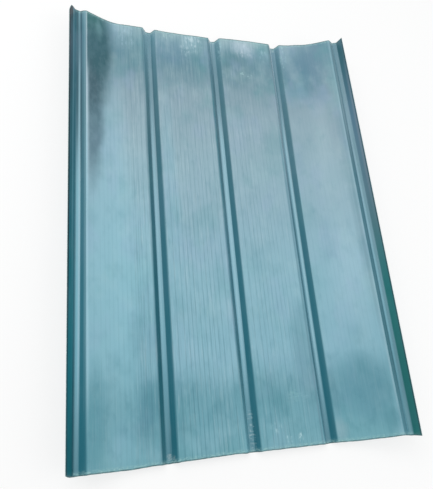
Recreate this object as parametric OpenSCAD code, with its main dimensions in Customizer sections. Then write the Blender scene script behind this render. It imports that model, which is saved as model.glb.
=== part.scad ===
// Corrugated plastic roofing sheet, moulded in one piece and lying flat with its narrow ribs
// pointing down. The ribs run along Y and the section is the same all the way. Three inner
// ribs rest on the floor, and the two outer pans curl up towards the edge ribs.
// The origin is on the floor, below the middle of the sheet. Millimetres and degrees.

/* [Sheet] */
// Length of the sheet along its ribs
sheet_length = 1335; // [300:5:6000]
// Thickness of the plastic
sheet_t = 1.5; // [0.8:0.1:2.5]

/* [Ribs] */
// Distance from the middle of one rib to the middle of the next
rib_pitch = 225; // [180:1:300]
// Depth of a rib below the pans
rib_depth = 18; // [10:0.5:30]
// Width of a rib where it opens from the pans
rib_mouth = 40; // [34:1:60]
// Width of a rib's flat floor
rib_floor = 15; // [12:0.5:22]
// Radius of the bends beside the ribs, at the middle of the plastic
bend_r = 5; // [2.5:0.5:6]
// Ribs on each side of the middle one, with the edge rib
ribs_per_side = 2; // [2:1:3]

/* [Left edge] */
// Flat width of the left outer pan, from its inner rib to where the curl starts
left_flat = 71; // [5:1:90]
// Angle by which the left outer pan curls up
left_curl = 23.5; // [5:0.5:30]
// Radius of the left curl, at the middle of the plastic
left_curl_r = 95; // [40:5:160]
// Height of the left edge wall, measured along its slope
left_lip = 32; // [14:0.5:40]
// Angle between the left edge wall and the floor of its rib
left_lip_angle = 37; // [20:1:60]
// Corner that is missing at the wall's far end, measured down the wall
far_snip_down = 13; // [2:1:20]
// The same corner, measured along the sheet
far_snip_along = 29; // [2:1:60]
// Corner that is missing at the wall's near end, measured down the wall
near_snip_down = 20; // [2:1:25]
// The same corner, measured along the sheet
near_snip_along = 5; // [2:1:60]

/* [Right edge] */
// Flat width of the right outer pan, from its inner rib to where the curl starts
right_flat = 5; // [5:1:60]
// Angle by which the right outer pan curls up
right_curl = 27; // [5:0.5:30]
// Radius of the right curl, at the middle of the plastic
right_curl_r = 220; // [60:5:280]
// Height of the right edge wall, measured along its slope
right_lip = 28; // [14:0.5:40]
// Angle between the right edge wall and the floor of its rib
right_lip_angle = 50; // [20:1:60]

/* [Hidden] */

// Largest angle between two neighbouring flats of a bend
arc_step = 6;
// Run, slope and length of a rib's side walls
wall_run = (rib_mouth - rib_floor) / 2;
wall_angle = atan2(rib_depth, wall_run);
wall_length = norm([wall_run, rib_depth]);
// Width of a whole pan, between the mouths of two ribs
pan = rib_pitch - rib_mouth;
half_t = sheet_t / 2;

// The section is a chain of legs. Each leg is [length, turn at its end, radius of that turn].
// Going outwards from the middle of the sheet, a positive turn bends it up.

// Distance from the corner of a bend to where the bend starts
function setback(r, turn) = r * tan(abs(turn) / 2);

// Half of the middle rib, from the middle of its floor to the first pan
function half_rib() = [
    [rib_floor / 2, wall_angle, bend_r],
    [wall_length, -wall_angle, bend_r]
];

// A flat pan and the whole rib outside it
function pan_and_rib() = [
    [pan, -wall_angle, bend_r],
    [wall_length, wall_angle, bend_r],
    [rib_floor, wall_angle, bend_r],
    [wall_length, -wall_angle, bend_r]
];

// The outer pan with its curl, and the edge rib that ends in a free wall
function curled_edge(flat, curl, curl_r, lip, lip_angle) =
    let (curl_corner = flat + setback(curl_r, curl))
    [
        [curl_corner, curl, curl_r],
        [pan - curl_corner, -wall_angle, bend_r],
        [wall_length, wall_angle, bend_r],
        [rib_floor, lip_angle, bend_r],
        [lip, 0, 0]
    ];

// All legs of one side, from the middle of the sheet outwards
function side_legs(flat, curl, curl_r, lip, lip_angle) = concat(
    half_rib(),
    [for (rib = [2 : ribs_per_side]) each pan_and_rib()],
    curled_edge(flat, curl, curl_r, lip, lip_angle)
);

// Place and heading [x, z, heading] before each leg and after the last one
function stations(legs, here = [0, 0, 0], i = 0) =
    i == len(legs) ? [here] :
    let (ahead = [
        here[0] + legs[i][0] * cos(here[2]),
        here[1] + legs[i][0] * sin(here[2]),
        here[2] + legs[i][1]
    ])
    concat([here], stations(legs, ahead, i + 1));

// Points of one bend on the line that lies "side" above the middle of the plastic
function bend_points(corner, heading, turn, r, side) =
    let (
        steps = max(1, ceil(abs(turn) / arc_step)),
        bend = turn < 0 ? -1 : 1,
        start = corner - setback(r, turn) * [cos(heading), sin(heading)],
        centre = start + bend * r * [-sin(heading), cos(heading)],
        reach = r - bend * side
    )
    [for (k = [0 : steps])
        let (a = heading + turn * k / steps)
        centre + bend * reach * [sin(a), -cos(a)]
    ];

// Point beside a station, at right angles to its heading
function beside(station, side) =
    [station[0], station[1]] + side * [-sin(station[2]), cos(station[2])];

// One face of a side: all its bends, then the end of its free wall
function face_points(legs, side) =
    let (way = stations(legs), last = len(legs))
    concat(
        [for (i = [0 : last - 2]) each bend_points(
            [way[i + 1][0], way[i + 1][1]], way[i][2], legs[i][1], legs[i][2], side)],
        [beside(way[last], side)]
    );

function mirrored(points) = [for (p = points) [-p[0], p[1]]];
function reversed(points) = [for (i = [len(points) - 1 : -1 : 0]) points[i]];

// How far a side reaches from the middle rib
function reach_of(legs) =
    max([for (side = [-half_t, half_t]) each [for (p = face_points(legs, side)) p[0]]]);

left_legs = side_legs(left_flat, left_curl, left_curl_r, left_lip, left_lip_angle);
right_legs = side_legs(right_flat, right_curl, right_curl_r, right_lip, right_lip_angle);
middle_x = (reach_of(right_legs) - reach_of(left_legs)) / 2;

// The whole section: the upper face from left to right, then the lower face back again
module section() {
    polygon(concat(
        reversed(mirrored(face_points(left_legs, half_t))),
        face_points(right_legs, half_t),
        reversed(face_points(right_legs, -half_t)),
        mirrored(face_points(left_legs, -half_t))
    ));
}

// A wedge over a missing corner of the left edge wall. Its X runs up the wall from the wall's
// tip, its Z along the sheet. "into" is 1 or -1, the way along Z that leads into the sheet.
module missing_corner(down, along, into) {
    past = 0.5;
    rotate([90, 0, 0])
        linear_extrude(height = 4 * sheet_t, center = true)
            polygon([
                [-(1 + past) * down, -past * into * along],
                [past * down, -past * into * along],
                [past * down, (1 + past) * into * along]
            ]);
}

// The section drawn out along Z, with the two corners of the left edge wall missing
module drawn_out() {
    left_tip = stations(left_legs)[len(left_legs)];
    difference() {
        linear_extrude(height = sheet_length)
            section();
        translate([-left_tip[0], left_tip[1], 0])
            rotate([0, 0, 180 - left_tip[2]])
                missing_corner(far_snip_down, far_snip_along, 1);
        translate([-left_tip[0], left_tip[1], sheet_length])
            rotate([0, 0, 180 - left_tip[2]])
                missing_corner(near_snip_down, near_snip_along, -1);
    }
}

module sheet() {
    color([0.48, 0.66, 0.71])
        translate([-middle_x, sheet_length / 2, half_t])
            rotate([90, 0, 0])
                drawn_out();
}

sheet();
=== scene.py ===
"""Looks of the corrugated plastic sheet: one moulded sheet with its tinted, weathered finish, with
light and shade painted into its colour.

The sheet lies on the floor with its ribs along Y, as in the frame. Metres and degrees.
"""

import functools
import logging
import math
from dataclasses import dataclass, field
from enum import Enum

import bmesh
import bpy
import numpy as np
from mathutils import Euler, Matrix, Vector, noise


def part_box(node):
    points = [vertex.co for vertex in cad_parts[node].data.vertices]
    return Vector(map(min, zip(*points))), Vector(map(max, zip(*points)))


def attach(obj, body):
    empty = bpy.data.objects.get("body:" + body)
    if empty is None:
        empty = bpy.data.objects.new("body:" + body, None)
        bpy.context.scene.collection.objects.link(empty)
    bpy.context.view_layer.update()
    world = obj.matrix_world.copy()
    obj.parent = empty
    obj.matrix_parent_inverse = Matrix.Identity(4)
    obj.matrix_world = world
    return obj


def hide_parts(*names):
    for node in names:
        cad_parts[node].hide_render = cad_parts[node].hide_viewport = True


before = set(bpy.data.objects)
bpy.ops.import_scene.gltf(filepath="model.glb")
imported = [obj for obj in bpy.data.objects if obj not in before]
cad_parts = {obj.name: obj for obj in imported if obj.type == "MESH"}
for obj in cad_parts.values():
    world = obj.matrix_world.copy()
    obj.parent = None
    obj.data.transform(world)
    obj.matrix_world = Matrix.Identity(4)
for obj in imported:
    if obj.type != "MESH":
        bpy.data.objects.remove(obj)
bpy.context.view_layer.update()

NODE = "sheet"
BODY = "root"
log = logging.getLogger("sheet")

# Mesh attributes: how far a point lies across the surface from the left tip, and how far in it
# lies from the nearer cut end
GIRTH = "girth"
INSET = "inset"
# Places nearer to each other than this are one place
CLOSE = 1e-6
# The plastic's refractive index, and how deep its finest relief is
PLASTIC_IOR = 1.5
RELIEF_DEPTH = 0.0003
# A line is at full strength within this share of its half width, and fades in and out over these
# shares of the length
LINE_CORE = 0.2
LINE_FADE_IN = 0.15
LINE_FADE_OUT = 0.25

Triple = tuple[float, float, float]
Colour = tuple[float, float, float, float]
Socket = bpy.types.NodeSocket
Value = float | tuple | Socket
Inputs = dict[str | int, Value]
Stops = tuple[tuple[float, str], ...]
Form = bmesh.types.BMesh
Node = bpy.types.Node
Owner = bpy.types.Material | bpy.types.World

WHITE: Colour = (1.0, 1.0, 1.0, 1.0)


def tint(code: str) -> Colour:
    """Turns a six-digit screen colour into the linear colour that the shaders use.

    Args:
        code: Red, green and blue as two hexadecimal digits each.

    Returns:
        Linear red, green, blue and an alpha of 1.
    """
    parts = [int(code[i:i + 2], 16) / 255 for i in (0, 2, 4)]
    red, green, blue = (p / 12.92 if p <= 0.04045 else ((p + 0.055) / 1.055) ** 2.4 for p in parts)
    return (red, green, blue, 1.0)


def rows(kind: type, *table: tuple) -> tuple:
    """Returns one object of a kind for each row of a table."""
    return tuple(kind(*row) for row in table)


def put(name: str, data: bpy.types.ID) -> bpy.types.Object:
    """Puts a new object into the scene.

    Args:
        name: The object's name.
        data: Its mesh, lamp or camera.

    Returns:
        The object, at the origin.
    """
    made = bpy.data.objects.new(name, data)
    bpy.context.scene.collection.objects.link(made)
    return made


def put_form(name: str, form: Form) -> bpy.types.Object:
    """Puts a finished form into the scene.

    Args:
        name: The name of the object and its mesh.
        form: The form, which is freed.

    Returns:
        The object.
    """
    mesh = bpy.data.meshes.new(name)
    form.to_mesh(mesh)
    form.free()
    return put(name, mesh)


def keeps_to(edge: bmesh.types.BMEdge, axis: int) -> bool:
    """Tells whether an edge stays at one place on an axis."""
    start, end = (vert.co[axis] for vert in edge.verts)
    return abs(start - end) < CLOSE


class Kind(Enum):
    """What a straight run of the section is. The value names its mesh attribute."""

    PAN = "pan"
    FALLING = "falling_wall"
    RISING = "rising_wall"
    FLOOR = "rib_floor"
    LIP = "lip"


class End(Enum):
    """A cut end of the sheet. The value is the way along Y that leads out of it."""

    FAR = 1
    NEAR = -1


@dataclass(frozen=True)
class Run:
    """A straight run of the section, going outwards, and the bend at its end."""

    length: float
    turn: float
    radius: float
    kind: Kind

    def setback(self) -> float:
        """Returns the distance from the bend's corner to where the bend starts."""
        return self.radius * math.tan(math.radians(abs(self.turn)) / 2)


@dataclass(frozen=True)
class Edge:
    """An outer pan that curls up, and the free wall of its edge rib."""

    flat: float
    curl: float
    curl_radius: float
    lip: float
    lip_angle: float


@dataclass(frozen=True)
class Corner:
    """A corner of the section before it is rounded, in the middle of the plastic."""

    x: float
    z: float
    setback: float
    steps: int


@dataclass
class Section:
    """The section across the ribs, with the sizes of the moulded sheet."""

    pitch: float = 0.225
    depth: float = 0.018
    mouth: float = 0.040
    floor: float = 0.015
    bend_radius: float = 0.005
    thickness: float = 0.0015
    left: Edge = Edge(0.071, 23.5, 0.095, 0.032, 37.0)
    right: Edge = Edge(0.005, 27.0, 0.220, 0.028, 50.0)
    bend_steps: int = 6
    curl_steps: int = 10

    def runs(self, edge: Edge, outward: Kind, inward: Kind) -> list[Run]:
        """Lists the runs of one side, from the middle rib to the tip.

        Args:
            edge: The sizes of this side's edge.
            outward: The kind of a wall that rises away from the middle.
            inward: The kind of a wall that falls away from the middle.

        Returns:
            The runs in order.
        """
        wall_run = (self.mouth - self.floor) / 2
        slope = math.degrees(math.atan2(self.depth, wall_run))
        wall = math.hypot(self.depth, wall_run)
        pan, radius = self.pitch - self.mouth, self.bend_radius
        curl = edge.flat + edge.curl_radius * math.tan(math.radians(edge.curl) / 2)
        return [
            Run(self.floor / 2, slope, radius, Kind.FLOOR),
            Run(wall, -slope, radius, outward),
            Run(pan, -slope, radius, Kind.PAN),
            Run(wall, slope, radius, inward),
            Run(self.floor, slope, radius, Kind.FLOOR),
            Run(wall, -slope, radius, outward),
            Run(curl, edge.curl, edge.curl_radius, Kind.PAN),
            Run(pan - curl, -slope, radius, Kind.PAN),
            Run(wall, slope, radius, inward),
            Run(self.floor, edge.lip_angle, radius, Kind.FLOOR),
            Run(edge.lip, 0.0, 0.0, Kind.LIP),
        ]

    def corners(self, runs: list[Run], side: int) -> list[Corner]:
        """Walks along the runs of one side.

        Args:
            runs: The runs from the middle rib outwards.
            side: 1 for the right side, -1 for the left one.

        Returns:
            The corner at the end of each run.
        """
        x, z, heading = 0.0, self.thickness / 2, 0.0
        found = []
        for run in runs:
            x += side * run.length * math.cos(heading)
            z += run.length * math.sin(heading)
            heading += math.radians(run.turn)
            steps = self.bend_steps if run.radius == self.bend_radius else self.curl_steps
            found.append(Corner(x, z, run.setback(), steps))
        return found

    def sides(self) -> tuple[list[Run], list[Run]]:
        """Returns the runs of the left and of the right side."""
        return (
            self.runs(self.left, Kind.FALLING, Kind.RISING),
            self.runs(self.right, Kind.RISING, Kind.FALLING),
        )

    def tip(self, end: Corner, inner: Corner) -> float:
        """Returns how far out in X a tip's outer face lies, from its corner and the one before."""
        lean = math.atan2(end.z - inner.z, abs(end.x - inner.x))
        return end.x + math.copysign(self.thickness / 2 * math.sin(lean), end.x)

    def chain(self) -> list[Corner]:
        """Lists all corners from the left tip to the right tip.

        Returns:
            The corners, moved in X so that the section lies centred.
        """
        left, right = self.sides()
        whole = self.corners(left, -1)[::-1] + self.corners(right, 1)
        middle = (self.tip(whole[0], whole[1]) + self.tip(whole[-1], whole[-2])) / 2
        return [Corner(c.x - middle, c.z, c.setback, c.steps) for c in whole]

    def kinds(self) -> list[Kind]:
        """Returns the kind of the run between each two corners of the chain."""
        left, right = self.sides()
        return [run.kind for run in left[:0:-1]] + [run.kind for run in right]


@dataclass(frozen=True)
class MissingCorner:
    """A corner that is missing at one end of the left edge wall."""

    end: End
    down: float
    along: float


@dataclass(frozen=True)
class Drift:
    """How far the moulding is off to the right at x: at the far end, midway and at the near end."""

    x: float
    far: float
    midway: float
    near: float

    def at(self, to_near: float) -> float:
        """Works out the drift between the ends, on the parabola through the three.

        Args:
            to_near: The share of the length from the far end.

        Returns:
            The distance to the right.
        """
        slope = self.near - self.far
        bulge = 4 * self.midway - 2 * (self.far + self.near)
        return self.far + slope * to_near + bulge * to_near * (1 - to_near)


@dataclass(frozen=True)
class Ripple:
    """A layer of unevenness: how many waves fit in a metre each way, its seed and its share."""

    across: float
    along: float
    seed: float
    share: float = 1.0

    def at(self, across: float, along: float) -> float:
        """Returns its height at a place, within 1 either way times its share."""
        place = Vector((across * self.across, along * self.along, self.seed))
        return self.share * noise.noise(place)


@dataclass
class MouldedSheet:
    """The moulded sheet: its section drawn out along Y, with the small waves of the real one.

    The cuts list X and how far the cut end lies beyond the straight one there.
    """

    section: Section = field(default_factory=Section)
    across_step: float = 0.0052
    along_step: float = 0.0135
    step_slack: float = 1e-3
    pan_wave: float = 0.0008
    pan_ripples: tuple[Ripple, ...] = (Ripple(9.0, 2.2, 3.1), Ripple(26.0, 5.0, 8.4, 0.5))
    end_ragged: float = 0.0007
    end_ripples: tuple[Ripple, ...] = (Ripple(28.0, 5.0, 1.7), Ripple(95.0, 5.0, 4.2, 0.5))
    end_reach: float = 0.09
    rim_round: float = 0.00035
    rim_steps: int = 2
    rim_angle: float = 60.0
    corner_fullness: float = 1.5
    corners_missing: tuple[MissingCorner, ...] = (
        MissingCorner(End.FAR, 0.013, 0.029),
        MissingCorner(End.NEAR, 0.020, 0.005),
    )
    far_cut: tuple[tuple[float, float], ...] = (
        (-0.424, 0.0045), (-0.412, -0.0005), (-0.37, -0.003), (-0.3, -0.0005),
        (-0.245, -0.002), (-0.2, -0.0055), (-0.14, -0.0085), (-0.01, -0.0095),
        (0.035, -0.005), (0.09, -0.0025), (0.18, -0.002), (0.232, -0.0045),
        (0.262, -0.0005), (0.31, 0.0015), (0.375, -0.0035), (0.425, -0.003),
        (0.46, -0.007),
    )
    near_cut: tuple[tuple[float, float], ...] = (
        (-0.46, -0.003), (-0.445, -0.0005), (-0.408, -0.0018), (-0.322, 0.004),
        (-0.25, 0.001), (-0.217, 0.0035), (-0.19, 0.0003), (-0.045, -0.0022),
        (0.01, 0.0006), (0.035, -0.0008), (0.2, 0.001), (0.228, 0.0026),
        (0.255, 0.0012), (0.325, 0.0026), (0.422, -0.0024), (0.45, 0.0006),
    )
    drifts: tuple[Drift, ...] = (
        Drift(-0.4634, -0.0021, 0.0003, 0.0029), Drift(-0.437, 0.0006, 0.0012, 0.0003),
        Drift(-0.2174, 0.0038, 0.0042, 0.0042), Drift(0.0076, 0.0032, 0.0003, 0.001),
        Drift(0.2326, 0.0042, -0.0006, 0.0003), Drift(0.445, 0.0032, 0.0002, 0.0021),
        Drift(0.4635, 0.003, 0.0025, 0.0012),
    )

    def __post_init__(self) -> None:
        """Takes the ends from the frame and the corners from the section, and starts the mesh."""
        low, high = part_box(NODE)
        self.far, self.near = high.y, low.y
        self.corners = self.section.chain()
        self.form = bmesh.new()

    def build(self) -> bpy.types.Object:
        """Models the sheet.

        Returns:
            The sheet as one object at the origin.
        """
        self.draw_out()
        self.round_bends()
        self.refine()
        self.mark_kinds()
        self.shape_waves()
        piece = put_form("moulded_sheet", self.form)
        piece.data.shade_smooth()
        self.give_wall(piece)
        return piece

    def draw_out(self) -> None:
        """Draws the unrounded section at the far end and extrudes it to the near end."""
        points = [self.form.verts.new((c.x, self.far, c.z)) for c in self.corners]
        edges = [self.form.edges.new(pair) for pair in zip(points, points[1:])]
        drawn = bmesh.ops.extrude_edge_only(self.form, edges=edges)["geom"]
        moved = [g for g in drawn if isinstance(g, bmesh.types.BMVert)]
        bmesh.ops.translate(self.form, verts=moved, vec=(0.0, self.near - self.far, 0.0))
        bmesh.ops.recalc_face_normals(self.form, faces=self.form.faces[:])
        if sum(face.normal.z for face in self.form.faces) < 0:
            bmesh.ops.reverse_faces(self.form, faces=self.form.faces[:])

    def round_bends(self) -> None:
        """Rounds the long edges of the section, each with its own radius."""
        for corner in self.corners[1:-1]:
            edges = [
                edge for edge in self.form.edges
                if all(abs(vert.co.x - corner.x) < CLOSE for vert in edge.verts)
            ]
            bmesh.ops.bevel(
                self.form, geom=edges, offset=corner.setback, offset_type="OFFSET",
                segments=corner.steps, profile=0.5, affect="EDGES", clamp_overlap=False,
                material=-1,
            )

    def refine(self) -> None:
        """Cuts the long flats into a grid that is fine enough for the waves."""
        by_cuts: dict[int, list[bmesh.types.BMEdge]] = {}
        for edge in self.form.edges:
            if keeps_to(edge, 1):
                steps = math.ceil(edge.calc_length() / self.across_step - self.step_slack)
                by_cuts.setdefault(steps - 1, []).append(edge)
        for cuts, edges in sorted(by_cuts.items()):
            if cuts > 0:
                bmesh.ops.subdivide_edges(self.form, edges=edges, cuts=cuts, use_grid_fill=True)
        lengthwise = [edge for edge in self.form.edges if keeps_to(edge, 0)]
        strips = round((self.far - self.near) / self.along_step)
        bmesh.ops.subdivide_edges(self.form, edges=lengthwise, cuts=strips - 1, use_grid_fill=True)

    def mark_kinds(self) -> None:
        """Writes the distance across the surface and a weight for each kind of run."""
        far_end = sorted(
            (vert for vert in self.form.verts if vert.co.y > self.far - CLOSE),
            key=lambda vert: vert.co.x,
        )
        xs = np.array([vert.co.x for vert in far_end])
        steps = [(b.co - a.co).length for a, b in zip(far_end, far_end[1:])]
        girths = np.concatenate([[0.0], np.cumsum(steps)])
        girth = self.form.verts.layers.float.new(GIRTH)
        for vert in self.form.verts:
            vert[girth] = float(np.interp(vert.co.x, xs, girths))
        knots = []
        for a, b in zip(self.corners, self.corners[1:]):
            span, rise = b.x - a.x, b.z - a.z
            slant = span / math.hypot(span, rise)
            knots += [a.x + a.setback * slant, b.x - b.setback * slant]
        kinds = self.section.kinds()
        for kind in Kind:
            layer = self.form.verts.layers.float.new(kind.value)
            weights = [1.0 if k is kind else 0.0 for k in kinds for _ in range(2)]
            for vert in self.form.verts:
                vert[layer] = float(np.interp(vert.co.x, knots, weights))

    def shape_waves(self) -> None:
        """Gives the pans, ribs and cut ends the small unevenness of a moulded sheet."""
        pan = self.form.verts.layers.float[Kind.PAN.value]
        girth = self.form.verts.layers.float[GIRTH]
        inset = self.form.verts.layers.float.new(INSET)
        places = [drift.x for drift in self.drifts]
        for vert in self.form.verts:
            x, y = vert.co.x, vert.co.y
            vert[inset] = min(self.far - y, y - self.near)
            belly = sum(ripple.at(x, y) for ripple in self.pan_ripples)
            vert.co.z += self.pan_wave * belly * vert[pan]
            to_near = (self.far - y) / (self.far - self.near)
            drifts = [drift.at(to_near) for drift in self.drifts]
            vert.co.x += float(np.interp(x, places, drifts))
            end = End.FAR if y > 0 else End.NEAR
            fade = max(0.0, 1.0 - vert[inset] / self.end_reach)
            vert.co.y += end.value * fade * self.cut_beyond(x, vert[girth], end)

    def cut_beyond(self, x: float, girth: float, end: End) -> float:
        """Works out how far a cut end lies beyond the straight one.

        Args:
            x: The place across the sheet.
            girth: The distance across the surface from the left tip.
            end: The end.

        Returns:
            The distance, which is negative where the sheet is shorter.
        """
        places, beyond = zip(*(self.far_cut if end is End.FAR else self.near_cut))
        ragged = sum(ripple.at(girth, end.value) for ripple in self.end_ripples)
        missing = 0.0
        for corner in self.corners_missing:
            if corner.end is end and girth < corner.down:
                missing = corner.along * (1.0 - girth / corner.down) ** self.corner_fullness
        return float(np.interp(x, places, beyond)) + self.end_ragged * ragged - missing

    def give_wall(self, piece: bpy.types.Object) -> None:
        """Gives the sheet its thickness, with the sawn finish on its rim, and eases the rim.

        Args:
            piece: The sheet without a thickness.
        """
        wall = piece.modifiers.new("wall", "SOLIDIFY")
        wall.thickness = self.section.thickness
        wall.offset = 0.0
        wall.use_even_offset = True
        wall.material_offset_rim = 1
        rim = piece.modifiers.new("rim", "BEVEL")
        rim.width = self.rim_round
        rim.segments = self.rim_steps
        rim.limit_method = "ANGLE"
        rim.angle_limit = math.radians(self.rim_angle)


@dataclass(frozen=True)
class Ramp:
    """A smooth rise or fall: low where a value is at start, and high where it is at end."""

    start: float
    end: float
    low: float = 0.0
    high: float = 1.0


@dataclass(frozen=True)
class Grain:
    """A noise that can be stretched.

    The scale gives its features for each metre in X, Y and Z, the detail how many finer layers it
    has, the roughness how strong those are, and the swirl how far it is distorted.
    """

    scale: Triple
    detail: float = 3.0
    roughness: float = 0.55
    swirl: float = 0.0


class Board:
    """Lays the nodes of one finish, or of the world."""

    def __init__(self, owner: Owner) -> None:
        """Starts with no nodes.

        Args:
            owner: The new material or world.
        """
        owner.use_nodes = True
        self.owner = owner
        self.tree = owner.node_tree
        self.tree.nodes.clear()

    def add(self, kind: str, inputs: Inputs | None = None, **settings: object) -> Node:
        """Adds a node, sets its options and fills its inputs.

        Args:
            kind: The node's type, without "ShaderNode".
            inputs: What goes into its inputs: a socket to link from, or a plain value.
            **settings: Values of the node's own options.

        Returns:
            The new node.
        """
        node = self.tree.nodes.new("ShaderNode" + kind)
        for name, value in settings.items():
            setattr(node, name, value)
        for name, value in (inputs or {}).items():
            if isinstance(value, Socket):
                self.tree.links.new(value, node.inputs[name])
            else:
                node.inputs[name].default_value = value
        return node

    def maths(self, operation: str, *values: Value) -> Socket:
        """Returns what a Math node makes of some values."""
        return self.add("Math", dict(enumerate(values)), operation=operation).outputs[0]

    def vector(self, operation: str, *values: Value) -> Socket:
        """Returns what a Vector Math node makes of some values, a plain number for a length."""
        node = self.add("VectorMath", dict(enumerate(values)), operation=operation)
        return node.outputs["Value" if operation == "LENGTH" else "Vector"]

    def times(self, *values: Value) -> Value:
        """Returns the product of some values."""
        return functools.reduce(lambda one, other: self.maths("MULTIPLY", one, other), values)

    def apart(self, value: Value, other: float) -> Socket:
        """Returns how far a value is from another, whichever is larger."""
        return self.maths("ABSOLUTE", self.maths("SUBTRACT", value, other))

    def mix(self, amount: Value, under: Value, over: Value) -> Socket:
        """Returns one colour with an amount of another laid over it."""
        return self.add("Mix", {0: amount, 6: under, 7: over}, data_type="RGBA").outputs[2]

    def band(self, value: Value, ramp: Ramp) -> Socket:
        """Returns what a value becomes on a ramp."""
        inputs = {0: value, 1: ramp.start, 2: ramp.end, 3: ramp.low, 4: ramp.high}
        return self.add("MapRange", inputs, interpolation_type="SMOOTHSTEP").outputs[0]

    def attribute(self, name: str) -> Socket:
        """Returns a number that the mesh carries, by its name."""
        return self.add("Attribute", attribute_name=name).outputs["Fac"]

    def tones(self, value: Value, stops: Stops, run: str = "CARDINAL") -> Socket:
        """Adds a row of colours that run into each other.

        Args:
            value: The place along the row, from 0 to 1.
            stops: Place and colour of each stop.
            run: How the row runs from stop to stop.

        Returns:
            The colour at that place.
        """
        node = self.add("ValToRGB", {0: value})
        ramp = node.color_ramp
        ramp.interpolation = run
        while len(ramp.elements) < len(stops):
            ramp.elements.new(0.5)
        for element, (place, code) in zip(ramp.elements, stops):
            element.position = place
            element.color = tint(code)
        return node.outputs[0]

    def grain(self, place: Value, grain: Grain) -> Socket:
        """Adds a noise.

        Args:
            place: The coordinates to read.
            grain: The kind of noise.

        Returns:
            The noise, around 0.5.
        """
        sized = self.vector("MULTIPLY", place, grain.scale)
        inputs = {"Vector": sized, "Scale": 1.0, "Detail": grain.detail}
        inputs |= {"Roughness": grain.roughness, "Distortion": grain.swirl}
        return self.add("TexNoise", inputs).outputs[0]

    def plastic(self, colour: Value, roughness: Value, height: Value, relief: float) -> Node:
        """Adds the shader of a plastic with a fine relief.

        Args:
            colour: Its colour.
            roughness: Its roughness.
            height: The height of its relief.
            relief: How strongly the relief shows.

        Returns:
            The shader.
        """
        bump = self.add("Bump", {"Strength": relief, "Distance": RELIEF_DEPTH, "Height": height})
        inputs = {"Base Color": colour, "Roughness": roughness, "IOR": PLASTIC_IOR}
        return self.add("BsdfPrincipled", inputs | {"Normal": bump.outputs[0]})

    def finish(self, shader: Node) -> Owner:
        """Joins the last shader to the output.

        Args:
            shader: The last shader.

        Returns:
            The finished material or world.
        """
        output = "World" if isinstance(self.owner, bpy.types.World) else "Material"
        self.add("Output" + output, {"Surface": shader.outputs[0]})
        return self.owner


class SheetBoard(Board):
    """Lays the nodes of the sheet's finish, and knows where a point is on the sheet.

    Girth is the distance across the surface from the left tip, and share the share of the length
    from the far end. The place holds the girth, the distance from the far end and the height.
    """

    def __init__(self, name: str) -> None:
        """Starts the material and works out the place.

        Args:
            name: The finish's name.
        """
        super().__init__(bpy.data.materials.new(name))
        low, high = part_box(NODE)
        parts = self.add("SeparateXYZ", {0: self.add("TexCoord").outputs["Object"]}).outputs
        along = self.maths("SUBTRACT", high.y, parts[1])
        self.girth = self.attribute(GIRTH)
        self.share = self.maths("DIVIDE", along, high.y - low.y)
        self.place = self.add("CombineXYZ", {0: self.girth, 1: along, 2: parts[2]}).outputs[0]
        self.colour: Value = WHITE

    def weight(self, kind: Kind) -> Socket:
        """Returns how far a point belongs to a kind of run, from 0 to 1."""
        return self.attribute(kind.value)

    def lay(self, amount: Value, code: str) -> None:
        """Lays an amount of a tone over the colour so far."""
        self.colour = self.mix(amount, self.colour, tint(code))


@dataclass(frozen=True)
class Patch:
    """A soft patch of another tone, with its middle, its half sizes and how softly it fades.

    Here and below, across is the distance across the surface from the left tip, and along is the
    distance from the far end.
    """

    across: float
    along: float
    wide: float
    long: float
    colour: str
    strength: float
    fade: float = 1.2

    def cover(self, board: Board, place: Value) -> Socket:
        """Works out how much of the patch shows.

        Args:
            board: The finish's nodes.
            place: The place on the sheet.

        Returns:
            Its strength at that place.
        """
        sizes = (1 / self.wide, 1 / self.long, 0.0)
        middle = (-self.across / self.wide, -self.along / self.long, 0.0)
        reach = board.vector("LENGTH", board.vector("MULTIPLY_ADD", place, sizes, middle))
        return board.band(reach, Ramp(1 + self.fade / 2, 1 - self.fade / 2, 0.0, self.strength))


@dataclass(frozen=True)
class Line:
    """A soft lengthwise line of another tone, with its half width.

    It runs from one share of the length to another. It fades in past its start, unless that is
    the far end at 0, and fades out before its end, unless that is the near end at 1.
    """

    across: float
    wide: float
    colour: str
    strength: float
    start: float = 0.0
    end: float = 1.0

    def cover(self, board: SheetBoard) -> Socket:
        """Works out how much of the line shows.

        Args:
            board: The finish's nodes.

        Returns:
            Its strength at the board's place.
        """
        away = board.apart(board.girth, self.across)
        shown = board.band(away, Ramp(self.wide, self.wide * LINE_CORE, 0.0, self.strength))
        if self.start > 0.0:
            begun = Ramp(self.start, self.start + LINE_FADE_IN)
            shown = board.times(shown, board.band(board.share, begun))
        if self.end < 1.0:
            ended = Ramp(self.end, self.end - LINE_FADE_OUT)
            shown = board.times(shown, board.band(board.share, ended))
        return shown


class Reach(Enum):
    """Where a cloud shows: all along the pans, mostly at both ends, or mostly at the far end, where
    its pale and blue-grey clouds are a painted reflection of the sky.
    """

    ALL = "all"
    ENDS = "ends"
    FAR = "far"


@dataclass(frozen=True)
class Cloud:
    """Uneven tone, with the noise that it follows and how much of it shows there."""

    colour: str
    grain: Grain
    cover: Ramp
    reach: Reach


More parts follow.
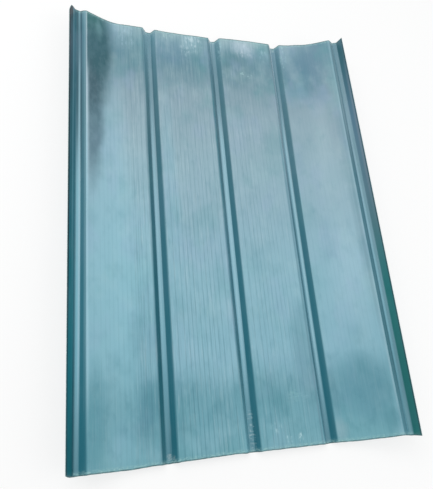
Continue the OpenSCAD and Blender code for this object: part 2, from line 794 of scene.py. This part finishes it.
@dataclass(frozen=True)
class TintedPlastic:
    """Weathered, tinted fibreglass plastic with moulded lines and painted light and shade: sky
    reflection, highlights on the bends, shade on the walls.

    The tones run from the far end to the near one. A ramp named across reads the distance across
    the surface, one named along the share of the length, one named inset the distance from a cut
    end, and one named cover a noise.
    """

    name: str = "tinted_plastic"
    gloss: float = 0.25
    coat: float = 0.1
    coat_roughness: float = 0.16
    roughness_grain: Grain = Grain((14.0, 5.0, 14.0), 4.0)
    roughness: Ramp = Ramp(0.3, 0.7, 0.32, 0.54)
    fibre_grain: Grain = Grain((260.0, 60.0, 260.0), 3.0, 0.6, 0.6)
    relief: float = 0.25
    # Straight moulded grooves, by how far they lie from the middle of their pan on both sides
    first_pan_middle: float = 0.16
    pan_spacing: float = 0.2412
    moulded_lines: tuple[float, ...] = (0.0065, 0.019, 0.0305, 0.042, 0.055, 0.0735)
    moulded_line_width: float = 0.0023
    moulded_across: tuple[Ramp, Ramp] = (Ramp(0.15, 0.32, 0.3, 1.0), Ramp(0.5, 0.84, 1.0, 0.2))
    moulded_along: Ramp = Ramp(0.1, 0.85, 0.52, 1.0)
    # Grooves that wander on the left pan, and the gaps in all grooves
    wander_pitch: float = 0.0133
    wander_grain: Grain = Grain((9.0, 0.7, 1.0), 2.0)
    wander_turns: float = 9.0
    wander_width: Ramp = Ramp(0.3, 0.95)
    wander_across: tuple[Ramp, Ramp] = (Ramp(0.15, 0.22, 0.3, 1.0), Ramp(0.27, 0.24))
    wander_depth: float = 0.5
    dash_grain: Grain = Grain((95.0, 13.0, 1.0), 4.0)
    dash_cover: Ramp = Ramp(0.36, 0.58, 0.35, 1.0)
    # Painted shade in the grooves, and how deep their relief is
    groove_shade_tint: str = "2C6474"
    groove_shade: float = 0.4
    groove_depth: float = 0.5
    # Where the left pan is smoother: round this share of the length, left of the next pan
    smooth_middle: float = 0.63
    smooth_reach: Ramp = Ramp(0.14, 0.26, 0.3, 1.0)
    smooth_across: Ramp = Ramp(0.19, 0.21)
    # How the rims of the patches swirl
    rim_scale: float = 14.0
    rim_detail: float = 2.0
    rim_reach: Triple = (0.028, 0.056, 0.0)
    # How fully the painted shade on the left pan's tilted outer strip shows, mottled, and less on
    # the bend's painted highlight except near the far end
    tilted_pan_shade_grain: Grain = Grain((55.0, 30.0, 1.0), 4.0, 0.6)
    tilted_pan_shade_cover: Ramp = Ramp(0.36, 0.6, 0.88, 1.0)
    tilted_pan_shade_across: Ramp = Ramp(0.068, 0.079, 0.35, 1.0)
    tilted_pan_shade_along: Ramp = Ramp(0.26, 0.1)
    # How strongly the clouds show, mostly near the ends; at the far end their pale haze is a
    # painted reflection of the sky
    cloud_on_pans: Ramp = Ramp(0.0, 1.0, 0.25, 1.0)
    streak_across: tuple[Ramp, Ramp] = (Ramp(0.52, 0.84, 1.0, 0.25), Ramp(0.17, 0.215, 0.38, 1.0))
    far_end_along: Ramp = Ramp(0.26, 0.1, 0.7, 1.25)
    near_end_along: Ramp = Ramp(0.76, 0.9, 0.7, 1.6)
    sky_reflection_along: Ramp = Ramp(0.85, 0.7, 0.25, 1.0)
    # The short strokes of the scuffs, and how they break up
    lengthwise_grain: Grain = Grain((165.0, 26.0, 1.0), 3.0, 0.6)
    crosswise_grain: Grain = Grain((48.0, 190.0, 1.0), 3.0, 0.6)
    stroke_cover: Ramp = Ramp(0.42, 0.66)
    break_grain: Grain = Grain((70.0, 60.0, 1.0))
    break_cover: Ramp = Ramp(0.38, 0.6)
    # The pale chips beside the cut ends, and the dark line along them
    chip_grain: Grain = Grain((120.0, 260.0, 1.0), 4.0, 0.65)
    chip_cover: Ramp = Ramp(0.44, 0.62, 0.15)
    chip_inset: Ramp = Ramp(0.013, 0.004)
    chip_off_lips: Ramp = Ramp(0.8, 0.0)
    chip_tint: str = "A0CBC8"
    chip_strength: float = 0.55
    cut_grain: Grain = Grain((60.0, 60.0, 1.0))
    cut_cover: Ramp = Ramp(0.3, 0.6, 0.45, 0.95)
    cut_inset: Ramp = Ramp(0.0042, 0.0016)
    cut_tint: str = "4A6B6E"
    # The far-end clouds in pale and blue-grey are a painted reflection of the sky as haze; the rest
    # are uneven tone
    clouds: tuple[Cloud, ...] = rows(
        Cloud,
        ("2E6878", Grain((310.0, 11.0, 1.0), 5.0, 0.62), Ramp(0.48, 0.66, 0.0, 0.16), Reach.ALL),
        ("C9DDE2", Grain((230.0, 9.0, 5.0), 5.0, 0.62), Ramp(0.51, 0.70, 0.0, 0.16), Reach.ALL),
        ("B9D3D8", Grain((15.0, 10.0, 1.0), 3.0, 0.52), Ramp(0.47, 0.74, 0.0, 0.16), Reach.FAR),
        ("3C7E8C", Grain((12.0, 8.0, 2.0), 3.0, 0.52), Ramp(0.47, 0.74, 0.0, 0.27), Reach.ENDS),
        ("437F8E", Grain((38.0, 22.0, 2.0), 3.0, 0.52), Ramp(0.50, 0.72, 0.0, 0.15), Reach.ENDS),
        ("97AACD", Grain((11.0, 7.0, 9.0), 3.0, 0.52), Ramp(0.48, 0.68, 0.0, 0.20), Reach.FAR),
        ("62ABA6", Grain((12.0, 8.0, 17.0), 3.0, 0.52), Ramp(0.48, 0.68, 0.0, 0.11), Reach.FAR),
    )
    # The pans' tint along the length, with a painted reflection of the sky, greyer towards the far
    # end
    pan_tones_and_sky_reflection: Stops = (
        (0.00, "8CAAB2"), (0.03, "7C9FAB"), (0.07, "6A8F9D"), (0.115, "6B8E9B"), (0.16, "7D9AA6"),
        (0.22, "89A4B0"), (0.36, "8EADB9"), (0.50, "8CAFBD"), (0.62, "89B3C1"), (0.75, "85B2C1"),
        (0.82, "81B0BF"), (0.88, "6EA1AF"), (0.94, "6AA0AE"), (1.00, "70A6B2"),
    )
    # Tint of each kind of rib face along the length, with painted light and shade: walls and lips
    # darkened by painted shade, one wall side more than the other, rib floors paler by painted
    # light
    falling_wall_tint_and_shade: Stops = (
        (0.00, "6F9AA8"), (0.04, "6A95A3"), (0.09, "5C8998"), (0.18, "56828F"), (0.28, "4E7885"),
        (0.45, "3D7180"), (0.65, "357080"), (0.85, "36717F"), (1.00, "619BAB"),
    )
    rising_wall_tint_and_shade: Stops = (
        (0.00, "64909E"), (0.06, "5A8694"), (0.25, "507C89"), (0.45, "437887"), (0.65, "377585"),
        (0.85, "2E7383"), (1.00, "2A6F7F"),
    )
    rib_floor_tint_and_light: Stops = (
        (0.05, "6C92A0"), (0.20, "789BA8"), (0.40, "87AFBD"), (0.60, "84B4C3"),
        (0.80, "76ACBC"), (0.98, "588C9B"),
    )
    left_lip_tint_and_shade: Stops = (
        (0.00, "182C36"), (0.05, "31535F"), (0.14, "254B57"), (0.28, "2D606D"), (0.50, "216673"),
        (0.80, "1A717E"), (0.93, "0C6470"), (1.00, "0C5F6B"),
    )
    right_lip_tint_and_shade: Stops = (
        (0.05, "396A76"), (0.25, "61869A"), (0.50, "5F8691"), (0.66, "378082"),
        (0.85, "2C7876"), (1.00, "2A7574"),
    )
    patches: tuple[Patch, ...] = rows(
        Patch,
        (0.224, 0.105, 0.03, 0.07, "668F99", 0.6), (0.19, 0.015, 0.035, 0.025, "98B5C2", 0.6),
        (0.13, 0.62, 0.055, 0.36, "9BC2D1", 0.6), (0.16, 0.86, 0.1, 0.3, "80BBC8", 0.4, 1.6),
        (0.33, 0.7, 0.024, 0.36, "80AFBE", 0.5), (0.355, 0.09, 0.045, 0.05, "668A9E", 0.6),
        (0.462, 0.1, 0.025, 0.08, "64939A", 0.45), (0.43, 0.035, 0.028, 0.035, "9ABBC6", 0.6),
        (0.632, 0.032, 0.036, 0.036, "ACC2CF", 0.75), (0.672, 0.01, 0.045, 0.014, "A3BDC4", 0.7),
        (0.6, 0.12, 0.048, 0.065, "618791", 0.8), (0.92, 0.09, 0.08, 0.125, "5C8296", 0.8),
        (0.835, 0.15, 0.04, 0.08, "6A8DA0", 0.5), (0.95, 0.3, 0.03, 0.2, "7D99A6", 0.5),
        (0.91, 0.88, 0.06, 0.12, "97BCCC", 0.5), (0.222, 1.03, 0.03, 0.09, "6E9FAE", 0.6),
        (0.085, 1.23, 0.028, 0.12, "5592A0", 0.85), (0.225, 1.205, 0.028, 0.07, "558C9B", 0.85),
        (0.165, 1.29, 0.045, 0.03, "7EB0BF", 0.5), (0.322, 1.215, 0.014, 0.07, "588F9D", 0.6),
        (0.435, 1.1, 0.06, 0.06, "8AB7C6", 0.5), (0.39, 1.29, 0.055, 0.026, "7EAEBC", 0.6),
        (0.712, 1.11, 0.03, 0.14, "6896A5", 0.65), (0.895, 1.195, 0.08, 0.08, "598F9F", 0.65),
        (0.806, 1.2, 0.012, 0.06, "5B8D9C", 0.6), (0.808, 1.3, 0.02, 0.025, "86A9B4", 0.6),
    )
    # Painted shade on the left pan's tilted outer strip, beside the edge rib, darkest near the far
    # end
    tilted_pan_shade_patches: tuple[Patch, ...] = rows(
        Patch,
        (0.085, 0.385, 0.03, 0.185, "527280", 0.85, 1.1),
        (0.088, 0.115, 0.06, 0.225, "2C5A64", 0.9, 0.8),
        (0.084, 0.26, 0.032, 0.09, "3E5965", 0.6, 1.2),
        (0.112, 0.14, 0.027, 0.09, "2A5963", 0.75, 1.2),
        (0.084, 0.0, 0.046, 0.06, "2C6869", 0.75, 1.2),
        (0.106, 0.055, 0.012, 0.03, "6A959C", 0.5, 1.4),
    )
    lengthwise_scuffs: tuple[Patch, ...] = rows(
        Patch,
        (0.437, 0.035, 0.03, 0.036, "C9E0E6", 0.65), (0.414, 0.07, 0.02, 0.034, "B4D0D8", 0.55),
        (0.345, 0.02, 0.03, 0.022, "AECFD0", 0.45), (0.636, 0.04, 0.034, 0.036, "CADAE6", 0.45),
        (0.708, 0.04, 0.016, 0.045, "A9CBD8", 0.4), (0.198, 0.04, 0.03, 0.05, "A5C6D6", 0.45),
        (0.802, 0.055, 0.01, 0.055, "AFDADB", 0.5), (0.547, 0.05, 0.01, 0.045, "A4CDD6", 0.55),
        (0.6, 1.28, 0.018, 0.012, "98C2CB", 0.75), (0.634, 1.311, 0.008, 0.009, "B2D6DD", 0.9),
        (0.667, 1.311, 0.007, 0.011, "B9DCE2", 1.0),
    )
    crosswise_scuffs: tuple[Patch, ...] = rows(
        Patch,
        (0.621, 0.143, 0.007, 0.006, "B2D6D8", 0.9), (0.648, 0.154, 0.012, 0.007, "B2D6D8", 0.9),
        (0.527, 1.29, 0.009, 0.055, "B7D2D6", 0.75), (0.288, 1.325, 0.012, 0.011, "CDDCDA", 0.8),
        (0.28, 0.011, 0.007, 0.01, "B5D0D2", 0.8), (0.523, 0.011, 0.007, 0.01, "B5D0D2", 0.8),
        (0.765, 0.011, 0.007, 0.01, "B5D0D2", 0.8), (0.664, 1.203, 0.018, 0.015, "86B9BC", 0.5),
        (0.692, 1.207, 0.014, 0.012, "8CBAC5", 0.5),
    )
    # Painted highlights along the bends, as pale lines, and painted shade along the edges and
    # walls, as dark lines
    lines: tuple[Line, ...] = rows(
        Line,
        (0.001, 0.0075, "10262F", 0.7), (0.001, 0.008, "0A1C25", 0.92, 0.0, 0.85),
        (0.022, 0.006, "5F93A3", 0.6, 0.0, 0.72), (0.0275, 0.0065, "6698A8", 0.5, 0.0, 0.38),
        (0.0265, 0.007, "3A8391", 0.4, 0.35, 0.96), (0.032, 0.007, "2C6877", 0.9),
        (0.0305, 0.0055, "12505E", 0.7, 0.72), (0.0385, 0.0065, "3F6F7D", 0.85, 0.0, 0.48),
        (0.0425, 0.0075, "446976", 0.92, 0.0, 0.4), (0.0365, 0.0055, "1F4E5C", 0.6, 0.0, 0.42),
        (0.044, 0.0045, "86B8C5", 0.9, 0.0, 0.15), (0.0405, 0.0065, "6FB6C6", 0.3, 0.32, 0.98),
        (0.0455, 0.0052, "9FC9D6", 0.68, 0.05, 0.99), (0.05, 0.006, "375F6D", 0.85, 0.0, 0.5),
        (0.062, 0.004, "8FB8C5", 0.3, 0.0, 0.95), (0.0715, 0.006, "AEC9D6", 0.6, 0.1, 0.52),
        (0.0685, 0.0038, "C4DDE8", 0.75, 0.0, 0.46), (0.068, 0.0044, "A0CCDA", 0.66, 0.22, 0.99),
        (0.0715, 0.0045, "93C2CF", 0.45, 0.62, 0.98), (0.25, 0.0025, "30596A", 0.6, 0.0, 0.25),
        (0.25, 0.0045, "3A6876", 0.65, 0.2, 0.48), (0.255, 0.009, "2A6673", 0.55, 0.24),
        (0.265, 0.009, "24606D", 0.45, 0.24), (0.2565, 0.0085, "0A5C6B", 0.72, 0.56),
        (0.2665, 0.008, "0A5C6B", 0.6, 0.52), (0.267, 0.0085, "A2C8D4", 0.6, 0.0, 0.17),
        (0.2755, 0.0035, "4D7785", 0.7, 0.001, 0.4), (0.279, 0.005, "A0CBD9", 0.35, 0.18, 0.9),
        (0.2735, 0.004, "2F6E7C", 0.6, 0.86), (0.286, 0.004, "2F6E7C", 0.6, 0.86),
        (0.2905, 0.005, "456F7D", 0.6, 0.001, 0.45), (0.303, 0.008, "80AAB7", 0.7, 0.0, 0.15),
        (0.31, 0.0028, "31707F", 0.55, 0.3), (0.492, 0.0026, "345E6D", 0.7, 0.0, 0.45),
        (0.4935, 0.006, "3B7281", 0.8, 0.08, 0.99), (0.5125, 0.0024, "2F5967", 0.45, 0.5),
        (0.495, 0.01, "4A7684", 0.55, 0.0, 0.24), (0.5155, 0.0035, "456D7C", 0.9, 0.001, 0.4),
        (0.511, 0.008, "CDE6EE", 1.0, 0.0, 0.14), (0.5235, 0.006, "B4D0DA", 0.75, 0.0, 0.12),
        (0.53, 0.0038, "9CCBDA", 0.55, 0.2, 0.93), (0.5235, 0.006, "A3CEDC", 0.62, 0.18, 0.99),
        (0.747, 0.016, "9CB7C3", 0.95, 0.0, 0.52), (0.7375, 0.012, "375E69", 1.0, 0.0, 0.16),
        (0.731, 0.0052, "5E8B9A", 0.75, 0.2), (0.7375, 0.0022, "55798A", 0.5, 0.0, 0.55),
        (0.747, 0.016, "4F7C8C", 0.48, 0.3), (0.757, 0.0024, "3F6877", 0.5, 0.12),
        (0.76, 0.005, "528393", 0.6, 0.2), (0.7625, 0.0034, "4F7786", 0.9, 0.001, 0.38),
        (0.754, 0.0055, "C2DAE4", 0.8, 0.0, 0.24), (0.7668, 0.006, "A0CBD9", 0.62, 0.18, 0.99),
        (0.78, 0.008, "4F7988", 0.35, 0.0, 0.34), (0.794, 0.0026, "8FC0CE", 0.35, 0.3, 0.93),
        (0.974, 0.005, "93B7C3", 0.55), (0.96, 0.016, "6F94A2", 0.4, 0.0, 0.8),
        (0.968, 0.008, "7196A4", 0.7, 0.02, 0.88), (0.969, 0.008, "82B3C1", 0.7, 0.83),
        (0.987, 0.012, "88A7B2", 0.9, 0.0, 0.46), (0.9855, 0.007, "557D8C", 0.8, 0.0, 0.17),
        (0.987, 0.012, "648F9D", 0.65, 0.3), (0.9785, 0.0022, "55798A", 0.2, 0.0, 0.55),
        (0.9955, 0.0022, "4F7585", 0.45, 0.02, 0.7), (1.008, 0.008, "5C8996", 0.7, 0.2),
        (1.005, 0.007, "7AAEB9", 0.6, 0.86), (1.031, 0.006, "8A98A4", 0.5, 0.03, 0.6),
        (1.038, 0.0045, "2B434B", 0.72),
    )

    def make(self) -> bpy.types.Material:
        """Builds the finish.

        Returns:
            The material.
        """
        board = SheetBoard(self.name)
        board.colour = board.tones(board.share, self.pan_tones_and_sky_reflection)
        self.lay_patches(board, self.patches)
        self.paint_rib_light_and_shade(board)
        self.paint_bend_highlights_and_shade(board)
        self.lay_clouds(board)
        self.paint_tilted_pan_shade(board)
        grooves = self.grooves(board)
        # Painted shade in the fine grooves
        board.lay(board.times(grooves, self.groove_shade), self.groove_shade_tint)
        self.draw_scuffs(board)
        self.draw_cut(board)
        roughness = board.band(board.grain(board.place, self.roughness_grain), self.roughness)
        fibres = board.grain(board.place, self.fibre_grain)
        height = board.maths("SUBTRACT", fibres, board.times(grooves, self.groove_depth))
        shader = board.plastic(board.colour, roughness, height, self.relief)
        shader.inputs["Specular IOR Level"].default_value = self.gloss
        shader.inputs["Coat Weight"].default_value = self.coat
        shader.inputs["Coat Roughness"].default_value = self.coat_roughness
        return board.finish(shader)

    def lay_patches(self, board: SheetBoard, patches: tuple[Patch, ...]) -> None:
        """Lays soft patches over the colour, with uneven rims.

        Args:
            board: The finish's nodes.
            patches: The patches to lay, in order.
        """
        inputs = {"Vector": board.place, "Scale": self.rim_scale, "Detail": self.rim_detail}
        swirl = board.add("TexNoise", inputs).outputs["Color"]
        centring = tuple(-reach / 2 for reach in self.rim_reach)
        moved = board.vector("MULTIPLY_ADD", swirl, self.rim_reach, centring)
        place = board.vector("ADD", board.place, moved)
        for patch in patches:
            board.lay(patch.cover(board, place), patch.colour)

    def paint_rib_light_and_shade(self, board: SheetBoard) -> None:
        """Paints the ribs' floors and walls and the lips, each with its own row of tones, which
        holds their tint with painted light and shade.

        Args:
            board: The finish's nodes.
        """
        floor, falling, rising, left, right = (
            board.tones(board.share, stops) for stops in (
                self.rib_floor_tint_and_light, self.falling_wall_tint_and_shade, self.rising_wall_tint_and_shade,
                self.left_lip_tint_and_shade, self.right_lip_tint_and_shade,
            )
        )
        at_right = board.maths("GREATER_THAN", board.girth, self.first_pan_middle)
        for kind, tone in (
            (Kind.FLOOR, floor), (Kind.FALLING, falling), (Kind.RISING, rising),
            (Kind.LIP, board.mix(at_right, left, right)),
        ):
            board.colour = board.mix(board.weight(kind), board.colour, tone)

    def paint_bend_highlights_and_shade(self, board: SheetBoard) -> None:
        """Paints highlights along the bends as pale lines, and shade along the edges and walls as
        dark lines.
        """
        for line in self.lines:
            board.lay(line.cover(board), line.colour)

    def lay_clouds(self, board: SheetBoard) -> None:
        """Gives the colour its fine streaks and, mostly near the ends, its cloudy blotches, with a
        painted reflection of the sky as haze at the far end.

        Args:
            board: The finish's nodes.
        """
        pans = board.band(board.weight(Kind.PAN), self.cloud_on_pans)
        across = [board.band(board.girth, ramp) for ramp in self.streak_across]
        far_end = board.band(board.share, self.far_end_along)
        near_end = board.band(board.share, self.near_end_along)
        ends = board.times(pans, board.maths("MAXIMUM", far_end, near_end))
        reaches = {
            Reach.ALL: board.times(pans, *across, self.quiet(board)),
            Reach.ENDS: ends,
            Reach.FAR: board.times(ends, board.band(board.share, self.sky_reflection_along)),
        }
        for cloud in self.clouds:
            shown = board.band(board.grain(board.place, cloud.grain), cloud.cover)
            board.lay(board.times(shown, reaches[cloud.reach]), cloud.colour)

    def quiet(self, board: SheetBoard) -> Socket:
        """Returns how much fine relief shows: less on the left pan, past its middle length."""
        away = board.band(board.apart(board.share, self.smooth_middle), self.smooth_reach)
        return board.maths("MAXIMUM", away, board.band(board.girth, self.smooth_across))

    def paint_tilted_pan_shade(self, board: SheetBoard) -> None:
        """Paints shade on the left pan's tilted outer strip, thinly on the bend's painted highlight
        except near the far end.

        Args:
            board: The finish's nodes.
        """
        mottled = board.band(board.grain(board.place, self.tilted_pan_shade_grain), self.tilted_pan_shade_cover)
        off_bend = board.band(board.girth, self.tilted_pan_shade_across)
        off_bend = board.maths("MAXIMUM", off_bend, board.band(board.share, self.tilted_pan_shade_along))
        amount = board.times(mottled, board.weight(Kind.PAN), off_bend)
        unshaded = board.colour
        self.lay_patches(board, self.tilted_pan_shade_patches)
        board.colour = board.mix(amount, unshaded, board.colour)

    def grooves(self, board: SheetBoard) -> Socket:
        """Works out the pans' fine grooves: straight moulded ones, and wandering ones at the left.

        Args:
            board: The finish's nodes.

        Returns:
            How deep the grooves are, from 0 to 1.
        """
        half = self.pan_spacing / 2
        offset = board.maths("SUBTRACT", board.girth, self.first_pan_middle)
        offset = board.maths("ABSOLUTE", board.maths("WRAP", offset, half, -half))
        stops = []
        for line in self.moulded_lines:
            for side, code in ((-1, "000000"), (0, "FFFFFF"), (1, "000000")):
                stops.append(((line + side * self.moulded_line_width) / half, code))
        straight = board.tones(board.maths("DIVIDE", offset, half), tuple(stops), "LINEAR")
        depth = board.times(*(board.band(board.girth, ramp) for ramp in self.moulded_across))
        straight = board.times(straight, depth, board.band(board.share, self.moulded_along))
        swing = board.times(board.grain(board.place, self.wander_grain), self.wander_turns)
        turn = board.maths("MULTIPLY_ADD", board.girth, 2 * math.pi / self.wander_pitch, swing)
        wandering = board.band(board.maths("SINE", turn), self.wander_width)
        left = [board.band(board.girth, ramp) for ramp in self.wander_across]
        depth = board.times(*left, self.wander_depth)
        wandering = board.times(wandering, depth, self.quiet(board))
        dashes = board.band(board.grain(board.place, self.dash_grain), self.dash_cover)
        drawn = board.maths("MAXIMUM", straight, wandering)
        return board.times(drawn, dashes, board.weight(Kind.PAN))

    def draw_scuffs(self, board: SheetBoard) -> None:
        """Draws the scuffs, where the surface is worn into short strokes.

        Args:
            board: The finish's nodes.
        """
        broken = board.band(board.grain(board.place, self.break_grain), self.break_cover)
        for grain, scuffs in (
            (self.lengthwise_grain, self.lengthwise_scuffs),
            (self.crosswise_grain, self.crosswise_scuffs),
        ):
            strokes = board.band(board.grain(board.place, grain), self.stroke_cover)
            strokes = board.times(strokes, broken)
            for scuff in scuffs:
                board.lay(board.times(scuff.cover(board, board.place), strokes), scuff.colour)

    def draw_cut(self, board: SheetBoard) -> None:
        """Draws the dark line along the cut ends and the pale, chipped band beside it.

        Args:
            board: The finish's nodes.
        """
        inset = board.attribute(INSET)
        chips = board.band(board.grain(board.place, self.chip_grain), self.chip_cover)
        off_lips = board.band(board.weight(Kind.LIP), self.chip_off_lips)
        band = board.times(board.band(inset, self.chip_inset), chips, off_lips, self.chip_strength)
        board.lay(band, self.chip_tint)
        dark = board.band(board.grain(board.place, self.cut_grain), self.cut_cover)
        board.lay(board.times(board.band(inset, self.cut_inset), dark), self.cut_tint)


@dataclass(frozen=True)
class CutRim:
    """The sawn rim, where the fibres show paler and rough."""

    name: str = "cut_rim"
    body: str = "5E8B8E"
    fibre: str = "A9C0BC"
    fibre_grain: Grain = Grain((240.0, 240.0, 900.0), 3.0, 0.65)
    fibre_cover: Ramp = Ramp(0.45, 0.7)
    roughness: Ramp = Ramp(0.3, 0.7, 0.55, 0.8)
    relief: float = 0.4

    def make(self) -> bpy.types.Material:
        """Builds the finish.

        Returns:
            The material.
        """
        board = Board(bpy.data.materials.new(self.name))
        fibres = board.grain(board.add("TexCoord").outputs["Object"], self.fibre_grain)
        colour = board.mix(board.band(fibres, self.fibre_cover), tint(self.body), tint(self.fibre))
        roughness = board.band(fibres, self.roughness)
        return board.finish(board.plastic(colour, roughness, fibres, self.relief))


@dataclass(frozen=True)
class SoftLamp:
    """A large soft lamp that points at the middle of the sheet."""

    name: str
    place: Triple
    size: float
    power: float


@dataclass
class Studio:
    """The plain pale floor, soft light and camera."""

    floor_reach: float = 40.0
    floor_tint: str = "F7F8F8"
    floor_paleness: float = 0.70
    sky_level: float = 0.62
    backdrop_level: float = 0.93
    camera_place: Triple = (-0.4315, -0.5220, 1.2826)
    camera_turn: Triple = (19.30, -15.38, -5.06)
    lens: float = 34.73
    lamps: tuple[SoftLamp, ...] = (
        SoftLamp("key", (-1.3, 1.6, 3.0), 2.6, 58.0),
        SoftLamp("fill", (2.2, -1.2, 2.4), 2.4, 20.0),
    )

    def build(self) -> None:
        """Makes the floor, lamps, world and camera."""
        self.lay_floor()
        for lamp in self.lamps:
            self.hang(lamp)
        self.light_world()
        self.place_camera()

    def seen(self, board: Board) -> Socket:
        """Works out which rays show the studio as it looks, instead of lighting the sheet.

        Args:
            board: The nodes of the floor or the world.

        Returns:
            1 for a ray from the camera, a gloss or a see-through surface, and otherwise 0.
        """
        rays = board.add("LightPath").outputs
        found = rays["Is Camera Ray"]
        for ray in ("Is Glossy Ray", "Is Transmission Ray"):
            found = board.maths("MAXIMUM", found, rays[ray])
        return found

    def floor_finish(self) -> bpy.types.Material:
        """Builds the floor's finish, which looks paler than it is and keeps a soft shadow.

        Returns:
            The material.
        """
        board = Board(bpy.data.materials.new("studio_floor"))
        plain = board.add("BsdfDiffuse", {"Color": tint(self.floor_tint)}).outputs[0]
        glow = board.add("Emission").outputs[0]
        paler = board.times(self.seen(board), self.floor_paleness)
        return board.finish(board.add("MixShader", {0: paler, 1: plain, 2: glow}))

    def lay_floor(self) -> None:
        """Lays the floor."""
        form = bmesh.new()
        bmesh.ops.create_grid(form, x_segments=1, y_segments=1, size=self.floor_reach)
        floor = put_form("studio_floor", form)
        floor.data.materials.append(self.floor_finish())

    def hang(self, lamp: SoftLamp) -> None:
        """Hangs one lamp.

        Args:
            lamp: The lamp to make.
        """
        light = bpy.data.lights.new(lamp.name, "AREA")
        light.size = lamp.size
        light.energy = lamp.power
        hung = put(lamp.name, light)
        hung.location = lamp.place
        hung.rotation_euler = (-Vector(lamp.place)).to_track_quat("-Z", "Y").to_euler()

    def light_world(self) -> None:
        """Lights the room evenly, with a paler backdrop behind the floor."""
        board = Board(bpy.data.worlds.new("studio"))
        sky, backdrop = (
            board.add("Background", {"Color": WHITE, "Strength": level}).outputs[0]
            for level in (self.sky_level, self.backdrop_level)
        )
        blend = board.add("MixShader", {0: self.seen(board), 1: sky, 2: backdrop})
        bpy.context.scene.world = board.finish(blend)
        bpy.context.scene.view_settings.view_transform = "Standard"

    def place_camera(self) -> None:
        """Puts the camera above the near left of the sheet."""
        camera = bpy.data.cameras.new("camera")
        camera.lens = self.lens
        held = put("camera", camera)
        held.location = self.camera_place
        held.rotation_euler = Euler([math.radians(angle) for angle in self.camera_turn])
        bpy.context.scene.camera = held


def main() -> None:
    """Builds the sheet, dresses it and sets the studio round it."""
    logging.basicConfig(level=logging.INFO, format="%(name)s: %(message)s")
    Studio().build()
    sheet = MouldedSheet().build()
    sheet.data.materials.append(TintedPlastic().make())
    sheet.data.materials.append(CutRim().make())
    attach(sheet, BODY)
    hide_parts(NODE)
    log.info("%s: %d faces before its wall", sheet.name, len(sheet.data.polygons))


if __name__ == "__main__":
    main()
